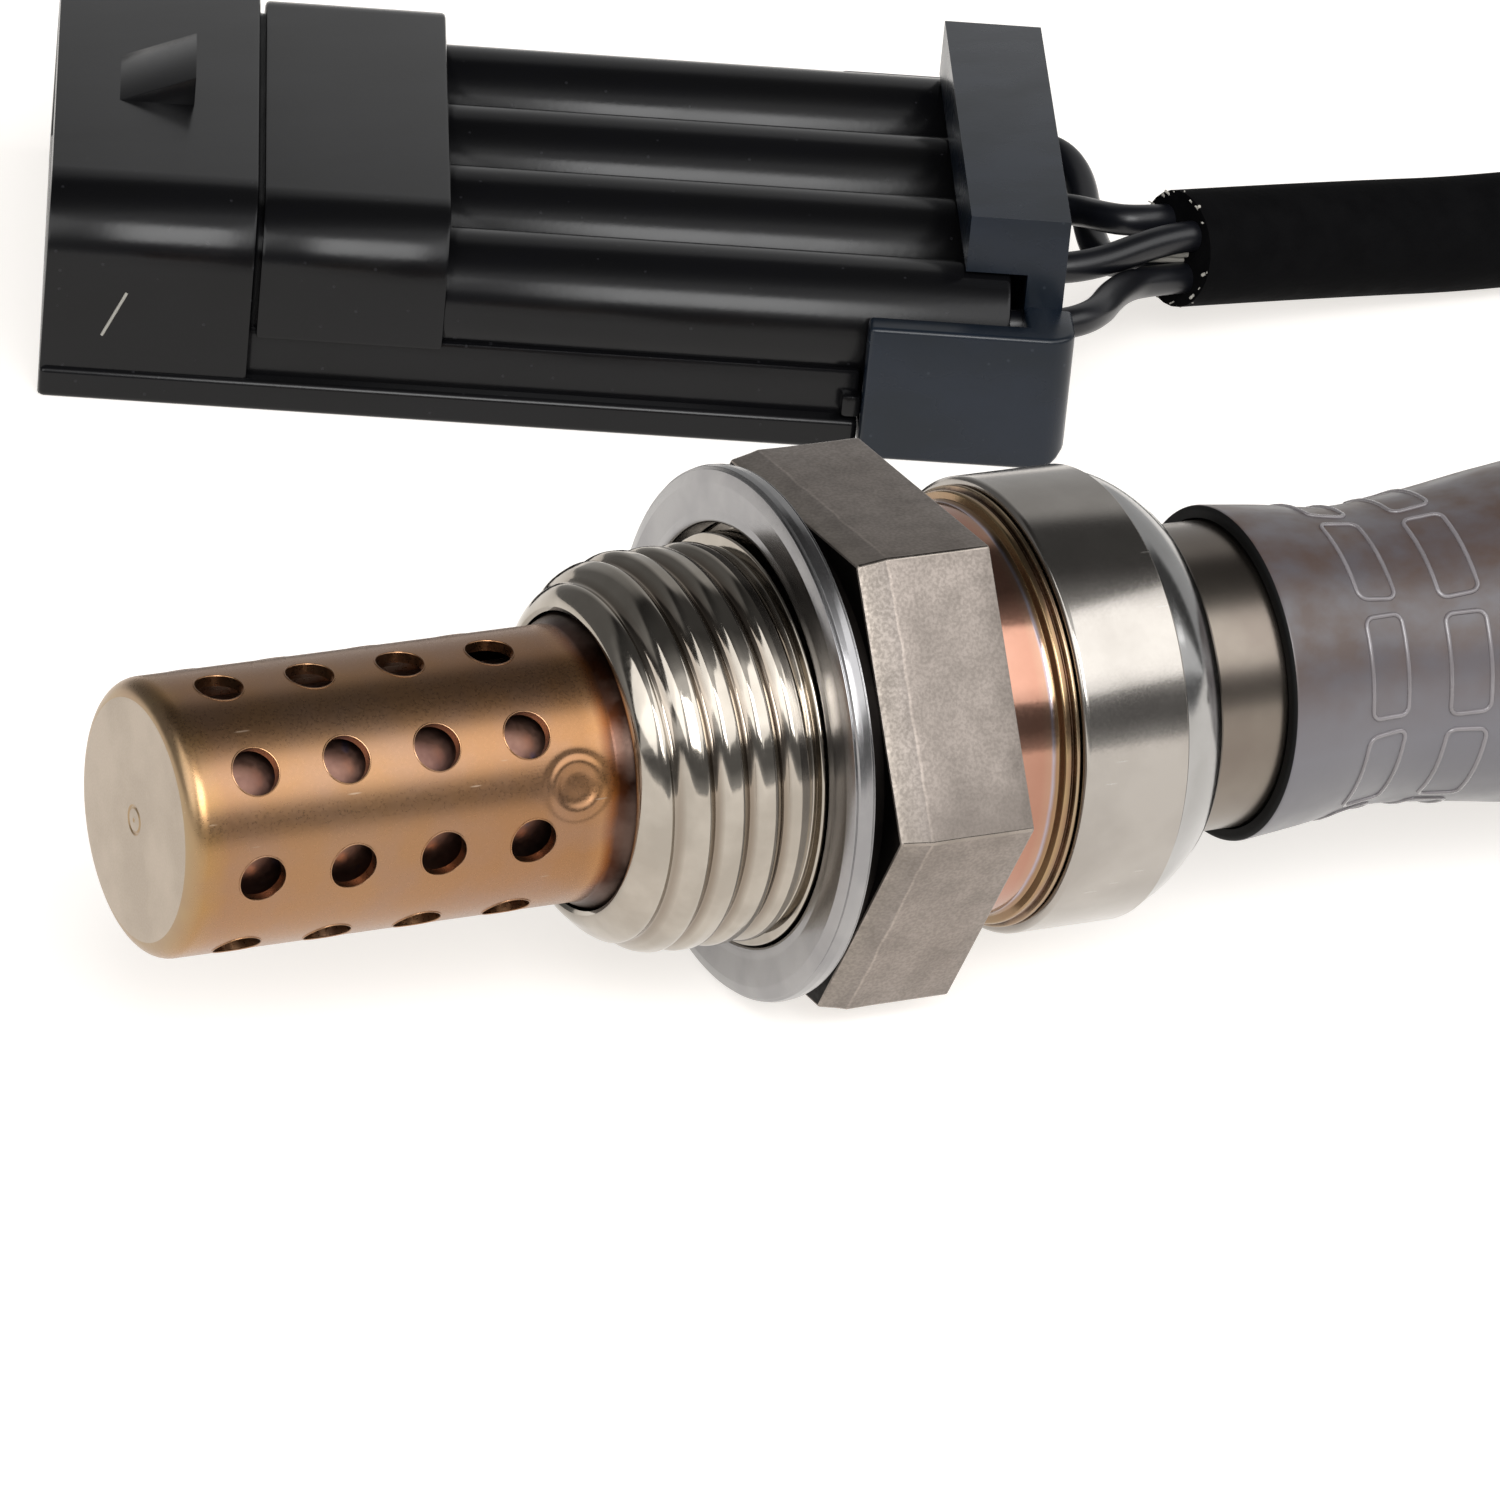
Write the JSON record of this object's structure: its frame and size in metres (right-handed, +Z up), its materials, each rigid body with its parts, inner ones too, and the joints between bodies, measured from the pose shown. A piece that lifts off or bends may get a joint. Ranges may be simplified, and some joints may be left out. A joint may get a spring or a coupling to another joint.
{
  "type": "oxygen sensor",
  "caption": "Heated screw-in oxygen sensor with a perforated bronze-tinted tip, spanner hexagon, gasket, rubber boot and a short sleeved lead ending in a flat black four-way plug.",
  "frame": {"origin": "on the sensor's axis at the rear end of its thread", "axes": "+X along the sensor from its tip to its lead, +Z up from the surface that the gasket, the lead and the plug lie on"},
  "size_m": [0.2016, 0.109, 0.0242],
  "materials": {
    "nickel_steel": "bright nickel on turned steel",
    "gasket_steel": "bright folded sheet steel",
    "heat_tinted_steel": "drawn stainless steel with a golden bronze heat tint",
    "inner_tube_steel": "drawn stainless steel",
    "washer_steel": "plain steel",
    "satin_nickel": "satin drawn stainless steel",
    "zirconia": "matte sintered ceramic",
    "alumina": "matte sintered ceramic",
    "talc": "pressed powder",
    "contact_metal": "plain spring strip",
    "blade_tin": "tinned brass",
    "sealing_rubber": "plain",
    "seal_rubber": "soft silicone",
    "boot_rubber": "smooth grey-brown, half gloss",
    "sleeve_black": "woven sleeve, matte",
    "core_black": "smooth wire insulation",
    "plug_plastic": "moulded, half gloss",
    "lock_plastic": "moulded, half gloss, blue-black"
  },
  "bodies": {
    "root": {"shell": "nickel_steel", "gasket": "gasket_steel", "protection_tube": "heat_tinted_steel", "inner_tube": "inner_tube_steel", "seal_washer": "washer_steel", "sensing_element": "zirconia", "heater_rod": "alumina", "talc_ring": "talc", "ceramic_bush": "alumina", "packing_ring": "washer_steel", "rear_ferrule": "satin_nickel", "terminal_insulator": "alumina", "grommet": "sealing_rubber", "boot": "boot_rubber", "lead_sleeve": "sleeve_black", "plug_housing": "plug_plastic", "rear_lock": "lock_plastic", "contact_1": "contact_metal", "core_tail_1": "core_black", "blade_1": "blade_tin", "wire_seal_1": "seal_rubber", "core_1": "core_black", "contact_2": "contact_metal", "core_tail_2": "core_black", "blade_2": "blade_tin", "wire_seal_2": "seal_rubber", "core_2": "core_black", "contact_3": "contact_metal", "core_tail_3": "core_black", "blade_3": "blade_tin", "wire_seal_3": "seal_rubber", "core_3": "core_black", "contact_4": "contact_metal", "core_tail_4": "core_black", "blade_4": "blade_tin", "wire_seal_4": "seal_rubber", "core_4": "core_black"}
  },
  "joints": []
}
